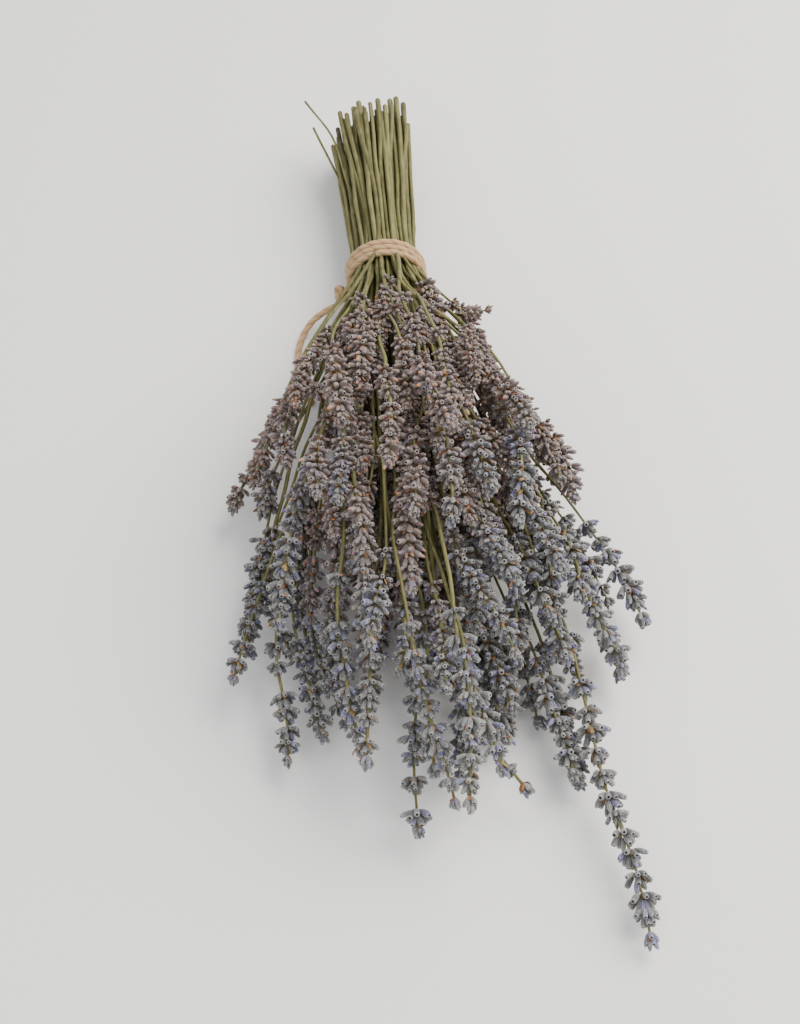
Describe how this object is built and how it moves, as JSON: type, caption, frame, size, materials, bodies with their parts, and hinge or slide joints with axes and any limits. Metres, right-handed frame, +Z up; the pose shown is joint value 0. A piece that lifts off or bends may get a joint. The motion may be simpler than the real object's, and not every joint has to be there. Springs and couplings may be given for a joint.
{
  "type": "bunch of dried lavender",
  "caption": "Bunch of dried lavender lying on its side: thin straight stems tied with three turns of twine, opening into a fan of knobbly grey-mauve flower spikes.",
  "frame": {"origin": "middle of the underside of the bunch's bounding box, on the surface it lies on, the twine's loose tail left out", "axes": "+Y along the bunch towards the cut stem ends, -Y towards the flower tips, +Z up from the surface, +X to the right seen from the flower tips"},
  "size_m": [0.1394, 0.384, 0.075],
  "materials": {
    "dried_lavender": "dry and matt: grey-mauve flower whorls with tan bracts on olive stems",
    "jute_twine": "matt twisted fibre"
  },
  "bodies": {
    "root": {"lavender_sprig_01": "dried_lavender", "lavender_sprig_02": "dried_lavender", "lavender_sprig_03": "dried_lavender", "lavender_sprig_04": "dried_lavender", "lavender_sprig_05": "dried_lavender", "lavender_sprig_06": "dried_lavender", "lavender_sprig_07": "dried_lavender", "lavender_sprig_08": "dried_lavender", "lavender_sprig_09": "dried_lavender", "lavender_sprig_10": "dried_lavender", "lavender_sprig_11": "dried_lavender", "lavender_sprig_12": "dried_lavender", "lavender_sprig_13": "dried_lavender", "lavender_sprig_14": "dried_lavender", "lavender_sprig_15": "dried_lavender", "lavender_sprig_16": "dried_lavender", "lavender_sprig_17": "dried_lavender", "lavender_sprig_18": "dried_lavender", "lavender_sprig_19": "dried_lavender", "lavender_sprig_20": "dried_lavender", "lavender_sprig_21": "dried_lavender", "lavender_sprig_22": "dried_lavender", "lavender_sprig_23": "dried_lavender", "lavender_sprig_24": "dried_lavender", "lavender_sprig_25": "dried_lavender", "lavender_sprig_26": "dried_lavender", "lavender_sprig_27": "dried_lavender", "lavender_sprig_28": "dried_lavender", "lavender_sprig_29": "dried_lavender", "lavender_sprig_30": "dried_lavender", "lavender_sprig_31": "dried_lavender", "lavender_sprig_32": "dried_lavender", "lavender_sprig_33": "dried_lavender", "lavender_sprig_34": "dried_lavender", "lavender_sprig_35": "dried_lavender", "lavender_sprig_36": "dried_lavender", "lavender_sprig_37": "dried_lavender", "lavender_sprig_38": "dried_lavender", "lavender_sprig_39": "dried_lavender", "lavender_sprig_40": "dried_lavender", "lavender_sprig_41": "dried_lavender", "lavender_sprig_42": "dried_lavender", "lavender_sprig_43": "dried_lavender", "lavender_sprig_44": "dried_lavender", "lavender_sprig_45": "dried_lavender", "lavender_sprig_46": "dried_lavender", "lavender_sprig_47": "dried_lavender", "lavender_sprig_48": "dried_lavender", "lavender_sprig_49": "dried_lavender", "lavender_sprig_50": "dried_lavender", "lavender_sprig_51": "dried_lavender", "lavender_sprig_52": "dried_lavender", "lavender_sprig_53": "dried_lavender", "lavender_sprig_54": "dried_lavender", "lavender_sprig_55": "dried_lavender", "twine_wraps": "jute_twine", "twine_knot": "jute_twine", "twine_tail": "jute_twine"}
  },
  "joints": []
}
